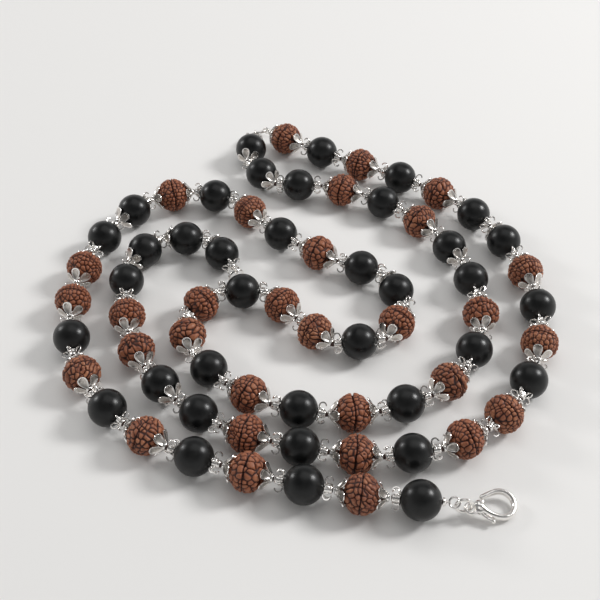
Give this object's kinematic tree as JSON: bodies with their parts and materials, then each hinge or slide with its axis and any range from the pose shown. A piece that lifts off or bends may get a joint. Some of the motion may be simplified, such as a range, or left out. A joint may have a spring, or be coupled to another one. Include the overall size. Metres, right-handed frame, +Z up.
{
  "type": "mala prayer beads",
  "caption": "Long strand of rudraksha and matt black beads with silver flower caps on every bead, laid in three loops, with a lobster clasp and an end ring",
  "frame": {"origin": "under the middle of the laid strand, on the surface it lies on", "axes": "+Z up; -Y towards the side with the clasp; +X to the right seen from there"},
  "size_m": [0.113, 0.126, 0.0083],
  "materials": {
    "silver": "polished cast silver, darker in the hollows",
    "black_bead": "matt black, soft highlights",
    "rudraksha": "oiled reddish-brown seed, deep dark grooves",
    "thread": "waxed dark brown cord",
    "spring_steel": "bright wire"
  },
  "bodies": {
    "strand": {"thread_outer": "thread", "thread_inner": "thread", "petal_caps_1": "silver", "petal_caps_2": "silver", "petal_caps_3": "silver", "curl_caps_1": "silver", "curl_caps_2": "silver", "curl_caps_3": "silver", "far_end_loops": "silver", "black_beads_inner_rows": "black_bead", "rudraksha_beads_inner_rows": "rudraksha"},
    "link_1": {"thread_link_1": "thread", "link_1_caps": "silver", "front_end_loop": "silver"},
    "link_2": {"thread_link_2": "thread", "link_2_caps": "silver"},
    "link_3": {"thread_link_3": "thread", "link_3_caps": "silver"},
    "jump_ring": {"jump_ring": "silver"},
    "clasp": {"clasp_hook": "silver", "clasp_pin": "silver", "clasp_spring": "spring_steel"},
    "lever": {"clasp_lever": "silver"},
    "joining_ring": {"joining_ring": "silver"},
    "end_ring": {"end_ring": "silver"},
    "bead_01": {"black_bead_01": "black_bead"},
    "bead_02": {"rudraksha_bead_02": "rudraksha"},
    "bead_03": {"black_bead_03": "black_bead"},
    "bead_04": {"rudraksha_bead_04": "rudraksha"},
    "bead_05": {"black_bead_05": "black_bead"},
    "bead_06": {"rudraksha_bead_06": "rudraksha"},
    "bead_07": {"black_bead_07": "black_bead"},
    "bead_08": {"rudraksha_bead_08": "rudraksha"},
    "bead_09": {"black_bead_09": "black_bead"},
    "bead_10": {"rudraksha_bead_10": "rudraksha"},
    "bead_11": {"rudraksha_bead_11": "rudraksha"},
    "bead_12": {"black_bead_12": "black_bead"},
    "bead_13": {"black_bead_13": "black_bead"},
    "bead_14": {"rudraksha_bead_14": "rudraksha"},
    "bead_15": {"black_bead_15": "black_bead"},
    "bead_16": {"rudraksha_bead_16": "rudraksha"},
    "bead_17": {"black_bead_17": "black_bead"},
    "bead_18": {"rudraksha_bead_18": "rudraksha"},
    "bead_19": {"black_bead_19": "black_bead"},
    "bead_20": {"black_bead_20": "black_bead"},
    "bead_21": {"rudraksha_bead_21": "rudraksha"},
    "bead_22": {"black_bead_22": "black_bead"},
    "bead_23": {"rudraksha_bead_23": "rudraksha"},
    "bead_24": {"rudraksha_bead_24": "rudraksha"},
    "bead_25": {"black_bead_25": "black_bead"},
    "bead_26": {"rudraksha_bead_26": "rudraksha"},
    "bead_27": {"rudraksha_bead_27": "rudraksha"},
    "bead_28": {"black_bead_28": "black_bead"},
    "bead_29": {"rudraksha_bead_29": "rudraksha"},
    "bead_30": {"black_bead_30": "black_bead"},
    "bead_31": {"rudraksha_bead_31": "rudraksha"},
    "bead_32": {"black_bead_32": "black_bead"},
    "bead_33": {"rudraksha_bead_33": "rudraksha"},
    "bead_34": {"black_bead_34": "black_bead"}
  },
  "joints": [
    {"name": "bend_3", "type": "hinge", "parent": "strand", "child": "link_3", "pos_m": [-0.00599, -0.05412, 0.00415], "axis": [0, 0, 1], "range_deg": [-25, 0]},
    {"name": "bend_2", "type": "hinge", "parent": "link_3", "child": "link_2", "pos_m": [0.00541, -0.05675, 0.00415], "axis": [0, 0, 1], "range_deg": [-25, 0]},
    {"name": "bend_1", "type": "hinge", "parent": "link_2", "child": "link_1", "pos_m": [0.01618, -0.05846, 0.00415], "axis": [0, 0, 1], "range_deg": [-25, 0]},
    {"name": "jump_ring_turn", "type": "hinge", "parent": "link_1", "child": "jump_ring", "pos_m": [0.02878, -0.05956, 0.00415], "axis": [0, 0, 1], "range_deg": [-25, 25]},
    {"name": "clasp_turn", "type": "hinge", "parent": "jump_ring", "child": "clasp", "pos_m": [0.03155, -0.05984, 0.00257], "axis": [0.1927, -0.1575, 0.9686], "range_deg": [-20, 20]},
    {"name": "lever_open", "type": "hinge", "parent": "clasp", "child": "lever", "pos_m": [0.03323, -0.05999, 0.00222], "axis": [-0.1927, 0.1575, -0.9686], "range_deg": [0, 25], "stiffness_Nm_per_rad": 0.004, "springref_deg": -20.05, "deforming": ["clasp_spring"]},
    {"name": "joining_ring_lift", "type": "hinge", "parent": "strand", "child": "joining_ring", "pos_m": [-0.01164, 0.05801, 0.00415], "axis": [0.91, 0.4147, 0], "range_deg": [0, 60]},
    {"name": "end_ring_swing", "type": "hinge", "parent": "strand", "child": "end_ring", "pos_m": [-0.01603, 0.00394, 0.00415], "axis": [0.8572, 0.515, 0], "range_deg": [-20, 20]},
    {"name": "spin_01", "type": "hinge", "parent": "link_1", "child": "bead_01", "pos_m": [0.02201, -0.05897, 0.00415], "axis": [-0.9962, 0.0872, 0], "continuous": true},
    {"name": "spin_02", "type": "hinge", "parent": "link_2", "child": "bead_02", "pos_m": [0.0108, -0.0576, 0.00415], "axis": [-0.9877, 0.1564, 0], "continuous": true},
    {"name": "spin_03", "type": "hinge", "parent": "link_3", "child": "bead_03", "pos_m": [-0.00029, -0.05543, 0.00415], "axis": [-0.9744, 0.225, 0], "continuous": true},
    {"name": "spin_04", "type": "hinge", "parent": "strand", "child": "bead_04", "pos_m": [-0.0112, -0.05253, 0.00415], "axis": [-0.9563, 0.2924, 0], "continuous": true},
    {"name": "spin_05", "type": "hinge", "parent": "strand", "child": "bead_05", "pos_m": [-0.02187, -0.04884, 0.00415], "axis": [-0.9336, 0.3584, 0], "continuous": true},
    {"name": "spin_06", "type": "hinge", "parent": "strand", "child": "bead_06", "pos_m": [-0.03196, -0.04385, 0.00415], "axis": [-0.848, 0.5299, 0], "continuous": true},
    {"name": "spin_07", "type": "hinge", "parent": "strand", "child": "bead_07", "pos_m": [-0.04057, -0.03668, 0.00415], "axis": [-0.682, 0.7314, 0], "continuous": true},
    {"name": "spin_08", "type": "hinge", "parent": "strand", "child": "bead_08", "pos_m": [-0.04712, -0.02759, 0.00415], "axis": [-0.4695, 0.8829, 0], "continuous": true},
    {"name": "spin_09", "type": "hinge", "parent": "strand", "child": "bead_09", "pos_m": [-0.05099, -0.01708, 0.00415], "axis": [-0.225, 0.9744, 0], "continuous": true},
    {"name": "spin_10", "type": "hinge", "parent": "strand", "child": "bead_10", "pos_m": [-0.0524, -0.00593, 0.00415], "axis": [-0.0175, 0.9998, 0], "continuous": true},
    {"name": "spin_11", "type": "hinge", "parent": "strand", "child": "bead_11", "pos_m": [-0.05146, 0.00487, 0.00415], "axis": [0.1908, 0.9816, 0], "continuous": true},
    {"name": "spin_12", "type": "hinge", "parent": "strand", "child": "bead_12", "pos_m": [-0.04813, 0.0156, 0.00415], "axis": [0.3907, 0.9205, 0], "continuous": true},
    {"name": "spin_13", "type": "hinge", "parent": "strand", "child": "bead_13", "pos_m": [-0.04209, 0.02547, 0.00415], "axis": [0.6428, 0.766, 0], "continuous": true},
    {"name": "spin_14", "type": "hinge", "parent": "strand", "child": "bead_14", "pos_m": [-0.03309, 0.03145, 0.00415], "axis": [0.9613, 0.2756, 0], "continuous": true},
    {"name": "spin_15", "type": "hinge", "parent": "strand", "child": "bead_15", "pos_m": [-0.02228, 0.03115, 0.00415], "axis": [0.9511, -0.309, 0], "continuous": true},
    {"name": "spin_16", "type": "hinge", "parent": "strand", "child": "bead_16", "pos_m": [-0.01336, 0.02504, 0.00415], "axis": [0.6157, -0.788, 0], "continuous": true},
    {"name": "spin_17", "type": "hinge", "parent": "strand", "child": "bead_17", "pos_m": [-0.00566, 0.01683, 0.00415], "axis": [0.7431, -0.6691, 0], "continuous": true},
    {"name": "spin_18", "type": "hinge", "parent": "strand", "child": "bead_18", "pos_m": [0.00331, 0.01003, 0.00415], "axis": [0.848, -0.5299, 0], "continuous": true},
    {"name": "spin_19", "type": "hinge", "parent": "strand", "child": "bead_19", "pos_m": [0.01335, 0.00495, 0.00415], "axis": [0.9272, -0.3746, 0], "continuous": true},
    {"name": "spin_20", "type": "hinge", "parent": "strand", "child": "bead_20", "pos_m": [0.02097, -0.00266, 0.00415], "axis": [0.3746, -0.9272, 0], "continuous": true},
    {"name": "spin_21", "type": "hinge", "parent": "strand", "child": "bead_21", "pos_m": [0.02044, -0.01281, 0.00415], "axis": [-0.5, -0.866, 0], "continuous": true},
    {"name": "spin_22", "type": "hinge", "parent": "strand", "child": "bead_22", "pos_m": [0.01192, -0.01834, 0.00415], "axis": [-0.9903, -0.1392, 0], "continuous": true},
    {"name": "spin_23", "type": "hinge", "parent": "strand", "child": "bead_23", "pos_m": [0.0022, -0.01537, 0.00415], "axis": [-0.7193, 0.6947, 0], "continuous": true},
    {"name": "spin_24", "type": "hinge", "parent": "strand", "child": "bead_24", "pos_m": [-0.005, -0.00723, 0.00415], "axis": [-0.6018, 0.7986, 0], "continuous": true},
    {"name": "spin_25", "type": "hinge", "parent": "strand", "child": "bead_25", "pos_m": [-0.01413, -0.00278, 0.00415], "axis": [-0.9998, 0.0175, 0], "continuous": true},
    {"name": "spin_26", "type": "hinge", "parent": "strand", "child": "bead_26", "pos_m": [-0.0234, -0.00691, 0.00415], "axis": [-0.6293, -0.7771, 0], "continuous": true},
    {"name": "spin_27", "type": "hinge", "parent": "strand", "child": "bead_27", "pos_m": [-0.02561, -0.01646, 0.00415], "axis": [0.225, -0.9744, 0], "continuous": true},
    {"name": "spin_28", "type": "hinge", "parent": "strand", "child": "bead_28", "pos_m": [-0.02039, -0.02604, 0.00415], "axis": [0.682, -0.7314, 0], "continuous": true},
    {"name": "spin_29", "type": "hinge", "parent": "strand", "child": "bead_29", "pos_m": [-0.01168, -0.03305, 0.00415], "axis": [0.866, -0.5, 0], "continuous": true},
    {"name": "spin_30", "type": "hinge", "parent": "strand", "child": "bead_30", "pos_m": [-0.00126, -0.03709, 0.00415], "axis": [0.9744, -0.225, 0], "continuous": true},
    {"name": "spin_31", "type": "hinge", "parent": "strand", "child": "bead_31", "pos_m": [0.00987, -0.03802, 0.00415], "axis": [0.9976, 0.0698, 0], "continuous": true},
    {"name": "spin_32", "type": "hinge", "parent": "strand", "child": "bead_32", "pos_m": [0.02077, -0.03555, 0.00415], "axis": [0.9336, 0.3584, 0], "continuous": true},
    {"name": "spin_33", "type": "hinge", "parent": "strand", "child": "bead_33", "pos_m": [0.03022, -0.02973, 0.00415], "axis": [0.7314, 0.682, 0], "continuous": true},
    {"name": "spin_34", "type": "hinge", "parent": "strand", "child": "bead_34", "pos_m": [0.03668, -0.02072, 0.00415], "axis": [0.4226, 0.9063, 0], "continuous": true}
  ]
}
